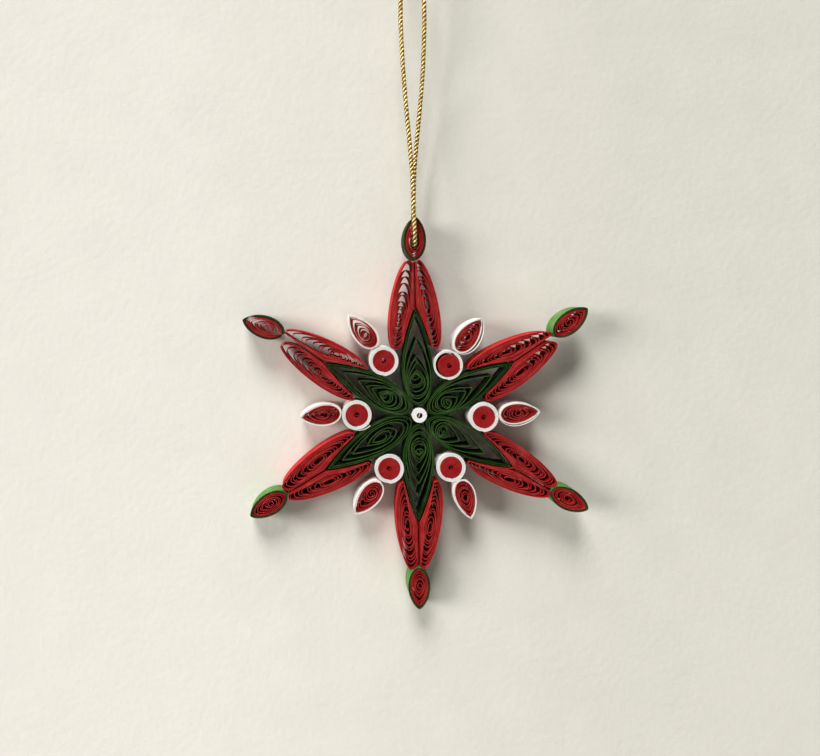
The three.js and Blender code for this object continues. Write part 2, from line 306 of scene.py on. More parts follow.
def leaf_point(leaf, turn):
    """The point at a part of one turn, which goes up the right side and down the left."""
    turn = turn % 1
    right = turn < 0.5
    share = (1 - math.cos(2 * math.pi * turn)) / 2
    on_axis = leaf.base + leaf.along * (leaf.length * share)
    aside = leaf.width / 2 * swell(leaf, share, right)
    if leaf.room and not right:
        free = max(0, leaf.room(on_axis) - leaf.inset)
        aside = min(aside * leaf.full, free * leaf.scale)
    return on_axis + leaf.across * (aside if right else -aside)


def inside(leaf, wall):
    """The leaf that is left inside pressed turns, which lie deeper in the pinched ends."""
    widest = leaf.inner_end / (leaf.inner_end + leaf.outer_end)

    def depth(end, run):
        slope = math.hypot(run, leaf.width / 2) / (leaf.width / 2)
        return wall * (1 + (slope - 1) * (2 * end - 1))

    inner = depth(leaf.inner_end, widest * leaf.length)
    outer = depth(leaf.outer_end, (1 - widest) * leaf.length)
    return replace(leaf, base=leaf.base + leaf.along * inner, length=leaf.length - inner - outer,
                   width=leaf.width - 2 * wall, inset=leaf.inset + wall)


unit_leaf = Leaf(Vector(), Vector((0, 0, 1)), Vector((1, 0, 0)), 1, 1)
print("a round leaf is", round(2 * leaf_point(unit_leaf, 0.25).x, 3), "wide at half its length")

# %% Leaves from the solids
GROWN = 0.1 * MM
SIDES_FROM, SIDES_TO = 0.08, 0.92
GREEN_SOLID_ENDS = {"inner_end": 0.62, "outer_end": 1.1}


def leaf_of(node, mirrored=False, **ends):
    """The smooth leaf through the corners of a node's outline."""
    corners = {(round(v.co.x, 7), round(v.co.z, 7)) for v in nodes[node].data.vertices}
    corners = [Vector((x, 0, z)) for x, z in corners]
    middle = Vector((flake_centre.x, 0, flake_centre.z))
    ends_apart = max(combinations(corners, 2), key=lambda pair: (pair[0] - pair[1]).length)
    inner, outer = sorted(ends_apart, key=lambda corner: (corner - middle).length)
    along = (outer - inner).normalized()
    across = along.cross(Vector((0, 1, 0))) * (1 if mirrored else -1)
    leaf = Leaf(inner, along, across, (outer - inner).length, 1, **ends)
    reach = 0
    for corner in corners:
        share = (corner - inner).dot(along) / leaf.length
        aside = (corner - inner).dot(across)
        if SIDES_FROM < share < SIDES_TO:
            reach = max(reach, abs(aside) / swell(leaf, share, aside > 0))
    return replace(leaf, base=inner - along * GROWN, length=leaf.length + 2 * GROWN,
                   width=2 * (reach + GROWN))


def round_leaf_of(node):
    low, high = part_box(node)
    radius = (high.z - low.z) / 2 + GROWN
    middle = (low + high) / 2
    return Leaf(Vector((middle.x, 0, middle.z - radius)), Vector((0, 0, 1)), Vector((1, 0, 0)),
                2 * radius, 2 * radius)


top_green = leaf_of("green_petal_1", **GREEN_SOLID_ENDS)
print("green petal, mm:", round(top_green.length / MM, 2), "by", round(top_green.width / MM, 2))

# %% [markdown]
# ## Rolling a strip
#
# A strip's path starts at the outer end of the paper. Its first turns lie pressed on each other
# in the rim. The rest winds loosely towards the eye, each turn a smaller copy of the one before.
# The path could be a curve with a bevel, but a strip has flat walls, so one vertex is extruded
# from turn to turn into a line, the line is extruded to the strip's width and the ribbon gets the
# paper's thickness. Edges where the wall turns into the cut edge stay sharp.

# %% Loose turns
def between(start, end, share):
    return start + (end - start) * share


def loose_leaf(rim, wound, eye, aside, opening, bunch, slim, soft):
    """The leaf that a loose turn follows. Wound goes from 0 at the rim to 1 at the eye."""
    share = between(1, opening, wound)
    inner = rim.length * eye * share
    outer = rim.length * (1 - eye) * share ** bunch
    base = (rim.base + rim.along * (rim.length * eye - inner)
            + rim.across * (rim.width / 2 * aside * (1 - share)))
    return replace(rim, base=base, length=inner + outer,
                   width=rim.width * share ** slim, scale=share ** slim,
                   inner_end=between(rim.inner_end, soft[0], wound),
                   outer_end=between(rim.outer_end, soft[1], wound))


half_wound = loose_leaf(top_green, 0.5, 0.5, 0, 0.1, 1, 1, (0.5, 0.5))
print("half way to the eye a turn is", round(half_wound.length / MM, 1), "mm long")

# %% The path of a coil
STRIP = 5 * MM
PAPER = 0.12 * MM
PITCH = 0.175 * MM
# How far a loose turn strays from an even spacing, in turns, how often, and how soon it may.
STRAY, STRAY_PACE, STRAY_ONSET = 0.25, 0.37, 4
# The rim's and the loose turns' shares of the strip's lift out of the plane, and their paces.
RIM_RISE, RIM_PACE = 0.3, 2.1
LOOSE_RISE, LOOSE_PACE = 0.7, 5.3


def coil_path(leaf, rim_turns, loose_turns=0.0, eye=0.5, aside=0.0, opening=0.1, bunch=1.0,
              slim=1.0, soft=(0.5, 0.5), pitch=PITCH, steps=44, seed=0, lift=0.1 * MM, slack=0.0):
    """Points of a strip's front edge from its outer end to its eye.

    Eye is a share of the leaf's length, aside a share of its half width. Bunch above 1 crowds
    the outer ends of the loose turns towards the eye, slim below 1 keeps them close together
    along the sides, and soft gives the innermost turn's ends. Slack lets the outer end stand
    away from the right side.
    """
    dice = random.Random(seed)
    slow, quick = dice.uniform(0, 2 * math.pi), dice.uniform(0, 2 * math.pi)
    rim = inside(leaf, PAPER / 2 + pitch * rim_turns)
    path = []
    for step in range(round(steps * (rim_turns + loose_turns)) + 1):
        turn = step / steps
        wound = max(0, turn - rim_turns) / loose_turns if loose_turns else 0
        if wound:
            stray = STRAY / loose_turns * math.sin(2 * math.pi * STRAY_PACE * turn + slow)
            uneven = wound + stray * min(1, STRAY_ONSET * wound)
            turned = loose_leaf(rim, min(1, uneven), eye, aside, opening, bunch, slim, soft)
        else:
            turned = inside(leaf, PAPER / 2 + pitch * turn)
        raised = lift * (RIM_RISE * math.sin(RIM_PACE * turn + slow)
                         + LOOSE_RISE * wound ** 0.5 * math.sin(LOOSE_PACE * turn + quick))
        loose_end = leaf.across * (slack * math.sin(2 * math.pi * turn) if turn < 0.5 else 0)
        path.append(leaf_point(turned, turn) + loose_end + Vector((0, -STRIP / 2 + raised, 0)))
    return path


def strip_length(path):
    return sum((b - a).length for a, b in zip(path, path[1:]))


one_turn = strip_length(coil_path(top_green, 1))
print("one turn round a green petal takes", round(one_turn / MM), "mm of paper")

# %% The path of a tight roll
TIGHT_PACE = 0.41
FOLD_POINTS = (0.5, 1, 1.6)


def tight_path(leaf, eye_radius, fold, pitch, steps, lift=0.0):
    """A roll without loose turns. Its inner end is folded across the eye, at an angle."""
    middle = leaf.base + leaf.along * (leaf.length / 2) - Vector((0, STRIP / 2, 0))
    outer_radius = leaf.width / 2 - PAPER / 2
    last = round(steps * (outer_radius - eye_radius) / pitch)
    path = []
    for step in range(last + 1):
        angle = fold + 2 * math.pi * (step - last) / steps
        radius = outer_radius - pitch * step / steps
        raised = Vector((0, lift * math.sin(TIGHT_PACE * angle), 0))
        outwards = leaf.along * math.cos(angle) + leaf.across * math.sin(angle)
        path.append(middle + outwards * radius + raised)
    return path + [between(path[-1], middle, share) for share in FOLD_POINTS]


print("a strip is", STRIP / MM, "mm wide and", PAPER / MM, "mm thick")

# %% From a path to paper
# Slots of a strip: outer wall with painted light and shade, cut edge, inner walls with painted
# shade, loose edges with a painted highlight.
SHADED_AND_LIT_WALL, EDGE, SHADED_INNER_WALL, LIT_LOOSE_EDGE = range(4)
FACES_VIEWER = 0.7
SHARP_FROM = math.radians(60)


def paper_mesh(path, steps, rim_turns):
    """A strip along the path. Its first turn's wall shows outside, the inner ones get painted
    shade.
    """
    strip = bmesh.new()
    line = [strip.verts.new(path[0])]
    for point in path[1:]:
        line += bmesh.ops.extrude_vert_indiv(strip, verts=line[-1:])["verts"]
        line[-1].co = point
    outside, rim = set(line[:steps + 1]), set(line[:round(steps * rim_turns) + 1])
    stood = bmesh.ops.extrude_edge_only(strip, edges=strip.edges[:])["geom"]
    back = [part for part in stood if isinstance(part, bmesh.types.BMVert)]
    bmesh.ops.translate(strip, verts=back, vec=(0, STRIP, 0))
    for face in strip.faces:
        face.material_index = LIT_LOOSE_EDGE
        if rim.intersection(face.verts):
            face.material_index = SHADED_AND_LIT_WALL if outside.intersection(face.verts) else SHADED_INNER_WALL
    bmesh.ops.recalc_face_normals(strip, faces=strip.faces[:])
    bmesh.ops.solidify(strip, geom=strip.faces[:], thickness=PAPER)
    bmesh.ops.recalc_face_normals(strip, faces=strip.faces[:])
    # Walls of the loose turns get the inner walls' painted shade, their front edges the painted
    # highlight.
    for face in strip.faces:
        face.smooth = True
        loose = face.material_index == LIT_LOOSE_EDGE
        if abs(face.normal.y) > FACES_VIEWER:
            face.material_index = LIT_LOOSE_EDGE if loose else EDGE
        elif loose:
            face.material_index = SHADED_INNER_WALL
    for edge in strip.edges:
        edge.smooth = edge.calc_face_angle(0) < SHARP_FROM
    return strip


print("a strip's finishes:", {"wall": SHADED_AND_LIT_WALL, "edge": EDGE, "inner": SHADED_INNER_WALL, "loose": LIT_LOOSE_EDGE})

# %% Finished pieces
ALL_RIM = 50


def show(name, data):
    """An object at the origin, whose place is in its mesh."""
    shown = bpy.data.objects.new(name, data)
    scene.collection.objects.link(shown)
    return shown


def stands_for(piece, node):
    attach(piece, "root")
    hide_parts(node)


def roll(node, papers, path, steps, rim_turns=ALL_RIM):
    """The strip that stands for a node. All of its turns are rim if no number is given."""
    name = f"{node}_strip"
    mesh = paper_mesh(path, steps, rim_turns)
    data = bpy.data.meshes.new(name)
    mesh.to_mesh(data)
    mesh.free()
    for paper in papers:
        data.materials.append(paper)
    stands_for(show(name, data), node)
    return strip_length(path)


print("strips to roll:", sum("cord" not in node for node in nodes))

# %% [markdown]
# ## Green petals
#
# The six green petals are long teardrops, pinched to a sharp point on the outside. They could be
# one petal turned six times, but no two coils spring open alike, so each has its own numbers.
# About a turn and a half is pressed into the rim. The loose turns bunch towards the inner end,
# because the eye was pulled that way before the coil was pinched.

# %% Green petals
GREEN_ENDS = {"inner_end": 0.56, "outer_end": 1.0}
GREEN_RIM, GREEN_PITCH, GREEN_STEPS = 1.6, 0.26 * MM, 48
GREEN_OPENING, GREEN_SLIM, GREEN_SOFT = 0.1, 0.85, (0.52, 0.9)
LOOSE_LIFT = 0.2 * MM
# For each arm: loose turns, place of the eye, how far it lies aside, how the outer ends bunch.
GREEN_COILS = [(7.4, 0.35, -0.2, 4.2), (6.5, 0.24, 0.3, 2.6), (6.6, 0.22, 0.3, 3),
               (7.4, 0.31, 0, 2.8), (4.4, 0.36, 0, 1.2), (7.5, 0.34, 0, 2.6)]

green_leaves, green_strips = {}, []
for arm, (loose_turns, eye, aside, bunch) in zip(ARMS, GREEN_COILS):
    node = f"green_petal_{arm}"
    leaf = green_leaves[arm] = replace(leaf_of(node, **GREEN_SOLID_ENDS), **GREEN_ENDS)
    path = coil_path(leaf, GREEN_RIM, loose_turns, eye, aside, opening=GREEN_OPENING,
                     bunch=bunch, slim=GREEN_SLIM, soft=GREEN_SOFT, pitch=GREEN_PITCH,
                     steps=GREEN_STEPS, seed=arm, lift=LOOSE_LIFT)
    green_strips.append(roll(node, PETAL_GREEN, path, GREEN_STEPS, GREEN_RIM))
print("green strips, mm:", [round(length / MM) for length in green_strips])

# %% [markdown]
# ## Red petals
#
# Each arm has two slim red petals, pinched at both ends. Glued in, each is pressed flat against
# the green petal and against its twin. A leaf alone would leave gaps there, so the inner side
# swells until it meets the green leaf or the seam between the twins. The loose turns stand apart
# at the ends and close together along the sides, so they read as nested chevrons.

# %% Room for a red petal
FURTHEST, FEELING_STEP = 4 * MM, 0.05 * MM


def inside_leaf(point, leaf):
    share = (point - leaf.base).dot(leaf.along) / leaf.length
    aside = (point - leaf.base).dot(leaf.across)
    return 0 < share < 1 and abs(aside) < leaf.width / 2 * swell(leaf, share, aside > 0)


def room_beside(leaf, green, seam_end):
    """How far the petal's inner side can reach before it meets the green petal or its twin."""
    green_tip = green.base + green.along * green.length
    seam = (seam_end - green_tip).normalized()
    outward = leaf.across - seam * leaf.across.dot(seam)

    def room(on_axis):
        reach = 0
        while reach < FURTHEST:
            point = on_axis - leaf.across * (reach + PAPER / 2)
            from_tip = point - green_tip
            past_seam = from_tip.dot(seam) > 0 and from_tip.dot(outward) < 0
            if past_seam or inside_leaf(point, green):
                break
            reach += FEELING_STEP
        return reach

    return room


print("room is felt for in steps of", FEELING_STEP / MM, "mm")

# %% Red petals
TIP_ENDS = {"inner_end": 0.57, "outer_end": 0.7}
RED_SOLID_ENDS = {"inner_end": 0.75, "outer_end": 0.62, "pressed": 0.22}
RED_ENDS = {"inner_end": 0.57, "outer_end": 0.6, "pressed": -0.1, "snug": 0.18, "full": 1.35}
RED_RIM, RED_PITCH, RED_STEPS = 1.6, 0.24 * MM, 44
RED_OPENING, RED_SLIM, RED_SOFT = 0.1, 0.7, (0.55, 0.55)
# Every kind of strip has seeds of its own, so no two coils stray alike.
RED_SEEDS = 10
# For each arm, its right and left petal: loose turns, place of the eye, how the outer ends bunch.
RED_COILS = [((8.5, 0.5, 1), (9.5, 0.38, 1.6)), ((9, 0.5, 1), (8.5, 0.45, 1.1)),
             ((8.5, 0.5, 1), (9, 0.52, 1)), ((9, 0.5, 1), (9, 0.55, 1)),
             ((9, 0.5, 1), (8.5, 0.5, 1)), ((9, 0.38, 1.6), (9, 0.42, 1.4))]

red_strips = []
for arm, pair in zip(ARMS, RED_COILS):
    seam_end = leaf_of(f"tip_wrap_{arm}", **TIP_ENDS).base
    for side, (loose_turns, eye, bunch) in zip(("right", "left"), pair):
        node, left = f"red_petal_{arm}_{side}", side == "left"
        leaf = replace(leaf_of(node, mirrored=left, **RED_SOLID_ENDS), **RED_ENDS)
        leaf = replace(leaf, room=room_beside(leaf, green_leaves[arm], seam_end))
        path = coil_path(leaf, RED_RIM, loose_turns, eye, opening=RED_OPENING, bunch=bunch,
                         slim=RED_SLIM, soft=RED_SOFT, pitch=RED_PITCH, steps=RED_STEPS,
                         seed=RED_SEEDS + 2 * arm + left, lift=LOOSE_LIFT)
        red_strips.append(roll(node, RED_PAPER, path, RED_STEPS, RED_RIM))
print("red strips, mm:", [round(length / MM) for length in red_strips])

# %% [markdown]
# ## Arm tips and drops
#
# A tip is a red coil inside three turns of green, and a drop is a red coil inside between two and
# three turns of white. The wrap could be a plain band, but its turns show on the front, so the
# wrap and the coil inside it are two strips, each rolled on its own leaf. The coil in the top tip
# stays open in the middle, where the cord goes through.

# %% Arm tips
TIP_TURNS, WRAP_GAP, WRAP_STEPS = 3, 0.4, 36
CORE_RIM, CORE_SLIM, CORE_STEPS = 1.2, 0.72, 36
TIP_EYE, TIP_SOFT = 0.45, (0.52, 0.6)
TIP_WRAP_SEEDS, TIP_CORE_SEEDS = 40, 50
# The top arm holds the cord; the top and upper left arms get the wrap with painted shade.
TOP_ARM, SHADED_WRAP_ARMS = 1, (1, 6)
# The opening at the eye and the loose turns, with the cord through the coil and without.
THREADED_COIL, CLOSED_COIL = (0.5, 3.5), (0.14, 5.4)

for arm in ARMS:
    leaf = leaf_of(f"tip_wrap_{arm}", **TIP_ENDS)
    wrap = SHADED_WRAP if arm in SHADED_WRAP_ARMS else WRAP_GREEN
    path = coil_path(leaf, TIP_TURNS, steps=WRAP_STEPS, seed=TIP_WRAP_SEEDS + arm)
    roll(f"tip_wrap_{arm}", wrap, path, WRAP_STEPS)
    core = inside(leaf, PITCH * (TIP_TURNS + WRAP_GAP))
    opening, loose_turns = THREADED_COIL if arm == TOP_ARM else CLOSED_COIL
    path = coil_path(core, CORE_RIM, loose_turns, TIP_EYE, opening=opening, slim=CORE_SLIM,
                     soft=TIP_SOFT, steps=CORE_STEPS, seed=TIP_CORE_SEEDS + arm,
                     lift=LOOSE_LIFT)
    roll(f"tip_core_{arm}", RED_PAPER, path, CORE_STEPS, CORE_RIM)
print("rolled", len(ARMS), "tips")

# %% Drops
DROP_ENDS = {"inner_end": 0.5, "outer_end": 0.75}
DROP_TURNS, DROP_OPENING, DROP_SOFT = 2.4, 0.14, (0.52, 0.62)
DROP_WRAP_SEEDS, DROP_CORE_SEEDS = 60, 70
# How far the wrap's outer end stands off, in the two sectors where it does.
DROP_SLACK = {1: 0.55 * MM, 2: 0.3 * MM}
# For each sector: loose turns, place of the eye and how the outer ends bunch.
DROP_COILS = [(5.6, 0.45, 1), (5.4, 0.5, 1), (5.6, 0.5, 1), (5.4, 0.36, 1.5), (5.6, 0.45, 1),
              (5.6, 0.38, 1.4)]

for sector, (loose_turns, eye, bunch) in zip(ARMS, DROP_COILS):
    leaf = leaf_of(f"drop_wrap_{sector}", **DROP_ENDS)
    path = coil_path(leaf, DROP_TURNS, steps=WRAP_STEPS, seed=DROP_WRAP_SEEDS + sector,
                     slack=DROP_SLACK.get(sector, 0))
    roll(f"drop_wrap_{sector}", WHITE_PAPER, path, WRAP_STEPS)
    core = inside(leaf, PITCH * (DROP_TURNS + WRAP_GAP))
    path = coil_path(core, CORE_RIM, loose_turns, eye, opening=DROP_OPENING, bunch=bunch,
                     slim=CORE_SLIM, soft=DROP_SOFT, steps=CORE_STEPS,
                     seed=DROP_CORE_SEEDS + sector, lift=LOOSE_LIFT)
    roll(f"drop_core_{sector}", RED_PAPER, path, CORE_STEPS, CORE_RIM)
print("rolled", len(DROP_COILS), "drops")

# %% [markdown]
# ## Berries and the centre peg
#
# A berry is a tight red roll inside a thick white ring, and the peg in the middle is a tight
# white roll. A disc with drawn rings would be quicker, but its face would be flat. Here the strip
# runs on until only a small eye is left, where the slotted tool has folded its inner end. One
# ring is looser than the others, and one has a free end that springs away.

# %% A ring's free end
SPRUNG_ANGLE, SPRUNG_GAP, SPRUNG_POINTS = math.radians(50), 0.5 * MM, 8


def sprung_end(leaf):
    """Points of a strip's free end, which springs away from a round coil."""
    middle = leaf.base + leaf.along * (leaf.length / 2) - Vector((0, STRIP / 2, 0))
    points = []
    for step in range(SPRUNG_POINTS, 0, -1):
        angle = SPRUNG_ANGLE * step / SPRUNG_POINTS
        radius = leaf.width / 2 + SPRUNG_GAP * step / SPRUNG_POINTS
        outwards = leaf.along * math.cos(angle) + leaf.across * math.sin(angle)
        points.append(middle - outwards * radius)
    return points


print("the free end stands", SPRUNG_GAP / MM, "mm off its ring")

# %% Berries
RING_TURNS, RING_GAP, RING_STEPS, RING_SEEDS = 5, 0.3, 40, 80
# The loose ring: its turns, and how far the roll inside it has slipped.
LOOSE_RINGS = {1: (3.4, Vector((0.3, 0, -0.12)) * MM)}
SPRUNG_RING = 5
BERRY_EYE, BERRY_PITCH, BERRY_STEPS, BERRY_LIFT = 0.7 * MM, 0.165 * MM, 32, 0.08 * MM
# The angle of the fold in the peg's eye, and how much further it is turned from berry to berry.
FOLD_FROM, FOLD_TURN = 20, 50

for sector in ARMS:
    leaf = round_leaf_of(f"berry_ring_{sector}")
    turns, slipped = LOOSE_RINGS.get(sector, (RING_TURNS, Vector()))
    free_end = []
    if sector == SPRUNG_RING:
        leaf = replace(leaf, across=-leaf.across)
        free_end = sprung_end(leaf)
    path = free_end + coil_path(leaf, turns, steps=RING_STEPS, seed=RING_SEEDS + sector)
    roll(f"berry_ring_{sector}", WHITE_PAPER, path, RING_STEPS)
    core = inside(leaf, PITCH * (RING_TURNS + RING_GAP))
    core = replace(core, base=core.base + slipped)
    fold = math.radians(FOLD_FROM + FOLD_TURN * sector)
    path = tight_path(core, BERRY_EYE, fold, BERRY_PITCH, BERRY_STEPS, BERRY_LIFT)
    roll(f"berry_coil_{sector}", RED_PAPER, path, BERRY_STEPS)
print("rolled", len(ARMS), "berries")

# %% Centre peg
PEG_EYE, PEG_PITCH, PEG_STEPS = 0.78 * MM, 0.14 * MM, 30

peg = round_leaf_of("centre_peg")
path = tight_path(peg, PEG_EYE, math.radians(FOLD_FROM), PEG_PITCH, PEG_STEPS)
peg_strip = roll("centre_peg", PEG_WHITE, path, PEG_STEPS)
print("the peg is rolled from", round(peg_strip / MM), "mm of paper")

# %% [markdown]
# ## Hanging cord
#
# The cord is a thin twisted metallic cord. It goes through the eye of the top tip, and its two
# ends are tied in a knot above. A smooth tube with a striped colour would do from afar, but close
# up the cord sparkles because it is twisted from bright and dull strands. So four strands are
# wound round the route, each a bevelled curve, and made one mesh. The dull strands' dark colour
# is partly their own and partly painted shade in the grooves. The foil's roughness changes with
# fine noise, and its colour follows the same noise up to painted glints.

# %% Gold threads
FOIL_METALLIC, FOIL_SCALE = 0.7, 2200
FOIL_STOPS = (0.36, 0.6)
FOIL_ROUGHNESS = (0.5, 0.2)


def tinsel_finish(name, dark, bright):
    """Metallic thread with painted glints: noise lifts its colour to the bright tone and sets
    roughness.
    """
    finish, tree, shader = new_finish(name)
    shader.inputs["Metallic"].default_value = FOIL_METALLIC
    glint_noise = noise_on(tree, FOIL_SCALE)
    foil = tree.nodes.new("ShaderNodeValToRGB")
    for stop, position, colour in zip(foil.color_ramp.elements, FOIL_STOPS, (dark, bright)):
        stop.position = position
        stop.color = linear(*colour)
    tree.links.new(glint_noise, foil.inputs["Fac"])
    tree.links.new(foil.outputs["Color"], shader.inputs["Base Color"])
    roughness = stretched(tree, glint_noise, wanted=FOIL_ROUGHNESS)
    tree.links.new(roughness, shader.inputs["Roughness"])
    return finish


# The bright stops are painted glints; the dull thread is partly a darker thread and partly painted
# shade in the grooves between strands.
GOLD_THREADS = [tinsel_finish("bright_gold", (178, 136, 56), (255, 236, 170)),
                tinsel_finish("dull_gold", (44, 27, 5), (108, 74, 24))]
print("threads:", [thread.name for thread in GOLD_THREADS])

# %% The cord's route
ROUTE_STEP = 0.2 * MM
FINE_POINTS = 24
CORD_ROUTE = [
    (-0.65, 0, 1.9), (-1.3, 0, 0.5), (-2.2, -0.1, -4), (-2.85, -0.4, -9), (-3.1, -0.7, -14.5),
    (-3.1, -1, -20), (-2.8, -1.45, -28.6), (-2.3, -1.9, -37.4), (-1.7, -2.3, -45.7),
    (-1.3, -2.6, -51.3), (-1.05, -2.9, -56), (-0.95, -3.15, -61), (-0.9, -3.3, -65.5),
    (-0.75, -3.3, -69), (-0.6, -2.75, -71.8), (-0.6, -1.6, -73.1), (-0.6, 0, -73.6),
    (-0.6, 1.6, -73.1), (-0.6, 2.75, -71.8), (-0.35, 3.3, -69), (-0.05, 3.3, -65.5),
    (0.1, 3.1, -61), (0.25, 2.9, -56), (0.42, 2.6, -52.8), (0.78, 2.4, -48.5),
    (1.35, 2.15, -42.7), (1.88, 1.85, -37.4), (2.65, 1.45, -28.6), (3, 1, -20),
    (3.05, 0.7, -14.5), (2.82, 0.4, -9), (2.2, 0.1, -4), (1.3, 0, 0.5), (0.65, 0, 1.9),
]


def in_mm(points):
    return [Vector(point) * MM for point in points]


def smooth_route(corners):
    """Evenly spaced points on a smooth curve through the corners."""
    ends = [corners[0], *corners, corners[-1]]
    fine = []
    for before, a, b, after in zip(ends, ends[1:], ends[2:], ends[3:]):
        leaving, arriving = a + (b - before) / 6, b - (after - a) / 6
        fine += interpolate_bezier(a, leaving, arriving, b, FINE_POINTS)[:-1]
    fine.append(corners[-1])
    spaced, gone = [fine[0]], 0
    for a, b in zip(fine, fine[1:]):
        gone += (b - a).length
        if gone >= ROUTE_STEP:
            spaced.append(b)
            gone = 0
    return spaced


route = smooth_route(in_mm(CORD_ROUTE))

# %% Twisted strands
CORD = 1.1 * MM
STRANDS, TWIST = 4, 2.1 * MM
STRAND_RADIUS, STRAND_REACH = 0.26 * CORD, 0.28 * CORD


def wind_strand(spline, route, start):
    """Puts a strand's points round the route, from the start angle on."""
    spline.points.add(len(route) - 1)
    aside, gone = Vector((1, 0, 0)), 0
    for i, point in enumerate(route):
        before, after = route[max(i - 1, 0)], route[min(i + 1, len(route) - 1)]
        ahead = (after - before).normalized()
        aside = (aside - ahead * aside.dot(ahead)).normalized()
        gone += (point - before).length
        angle = 2 * math.pi * (gone / TWIST + start)
        offset = aside * math.cos(angle) + ahead.cross(aside) * math.sin(angle)
        spline.points[i].co = (*(point + offset * STRAND_REACH), 1)


def twisted_cord(name, routes):
    curve = bpy.data.curves.new(name, "CURVE")
    curve.dimensions = "3D"
    curve.bevel_depth = STRAND_RADIUS
    curve.bevel_resolution = 1
    curve.use_fill_caps = True
    for thread in GOLD_THREADS:
        curve.materials.append(thread)
    for route in routes:
        for strand in range(STRANDS):
            spline = curve.splines.new("POLY")
            spline.material_index = strand % len(GOLD_THREADS)
            wind_strand(spline, route, strand / STRANDS)
    drawn = show(name, curve)
    mesh = bpy.data.meshes.new_from_object(drawn)
    bpy.data.objects.remove(drawn)
    bpy.data.curves.remove(curve)
    mesh.name = name
    for face in mesh.polygons:
        face.use_smooth = True
    return show(name, mesh)


cord = twisted_cord("cord_strands", [route])
stands_for(cord, "hanging_cord")
print("cord has", len(cord.data.polygons), "faces")

# %% [markdown]
# ## Knot
#
# Above the loop the two ends are tied together. A ball would hide how the cord runs, so the knot
# is the cord itself: one end winds twice round the other, and both are trimmed short.

# %% Knot
KNOT_BOTTOM, KNOT_TOP, KNOT_RADIUS = 2.6 * MM, 4.8 * MM, 0.92 * MM
WINDINGS, WINDING_POINTS = 2, 16

straight_end = in_mm([(0.45, 0, 2), (0.3, 0, 4), (0.35, 0.1, 6), (0.5, 0.1, 8.4)])
wound_end = in_mm([(-0.5, 0, 2)])
for step in range(WINDING_POINTS + 1):
    angle = math.pi + 2 * math.pi * WINDINGS * step / WINDING_POINTS
    side, front = KNOT_RADIUS * math.cos(angle), KNOT_RADIUS * math.sin(angle)
    height = between(KNOT_BOTTOM, KNOT_TOP, step / WINDING_POINTS)
    wound_end.append(Vector((side, front, height)))
wound_end += in_mm([(-0.35, -0.1, 6), (-0.45, -0.1, 8.8)])
knot = twisted_cord("knot_strands", [smooth_route(straight_end), smooth_route(wound_end)])
stands_for(knot, "cord_knot")
print("knot has", len(knot.data.polygons), "faces")

# %% [markdown]
# ## Wall and floor
#
# The snowflake hangs against a pale plastered wall. It leans a little, with its lower left
# nearest to the wall. The snowflake stays straight here, so the wall leans instead. The plaster
# is mottled and has a fine grain, and it is painted a shade darker to the right: painted shade
# for the window's light falling off away from it. The wall shows only to someone in front of it,
# so that the back of the snowflake can be looked at as well. The floor is plain and lies below
# the picture. It throws back less light than it shows, because a floor in a room lies further
# away than this one.

# %% Plaster
# The plaster's colour goes darker from left to right: painted shade for light falling off away from
# the window.
PLASTER_LIT_LEFT, PLASTER_SHADED_RIGHT = (236, 233, 225), (218, 217, 207)
FALLOFF_FROM, FALLOFF_TO = -0.06, 0.06
PLASTER_ROUGHNESS = 0.9
MOTTLE_SCALE, MOTTLE_DETAIL, MOTTLE_LEVEL = 90, 6, (0.95, 1.05)
GRAIN_SCALE, GRAIN_DETAIL, GRAIN_STRENGTH, GRAIN_DEPTH = 600, 3, 0.3, 0.25 * MM

plaster, plaster_tree, plaster_shader = new_finish("wall_plaster")
plaster_shader.inputs["Roughness"].default_value = PLASTER_ROUGHNESS
where = plaster_tree.nodes.new("ShaderNodeTexCoord")
sides = plaster_tree.nodes.new("ShaderNodeSeparateXYZ")
plaster_tree.links.new(where.outputs["Object"], sides.inputs["Vector"])
painted_falloff = stretched(plaster_tree, sides.outputs["X"], given=(FALLOFF_FROM, FALLOFF_TO))
falloff_tone = two_colours(plaster_tree, painted_falloff)
falloff_tone.inputs["A"].default_value = linear(*PLASTER_LIT_LEFT)
falloff_tone.inputs["B"].default_value = linear(*PLASTER_SHADED_RIGHT)
mottle = noise_on(plaster_tree, MOTTLE_SCALE, MOTTLE_DETAIL)
mottled = plaster_tree.nodes.new("ShaderNodeVectorMath")
mottled.operation = "SCALE"
mottle_level = stretched(plaster_tree, mottle, wanted=MOTTLE_LEVEL)
plaster_tree.links.new(falloff_tone.outputs["Result"], mottled.inputs["Vector"])
plaster_tree.links.new(mottle_level, mottled.inputs["Scale"])
plaster_tree.links.new(mottled.outputs["Vector"], plaster_shader.inputs["Base Color"])
grain = noise_on(plaster_tree, GRAIN_SCALE, GRAIN_DETAIL)
grained = bumped(plaster_tree, grain, GRAIN_STRENGTH, GRAIN_DEPTH)
plaster_tree.links.new(grained, plaster_shader.inputs["Normal"])
print("plaster has", len(plaster_tree.nodes), "nodes")

# %% Plaster that shows from the front only
def larger_of(tree, first, second):
    node = tree.nodes.new("ShaderNodeMath")
    node.operation = "MAXIMUM"
    tree.links.new(first, node.inputs[0])
    tree.links.new(second, node.inputs[1])
    return node.outputs[0]


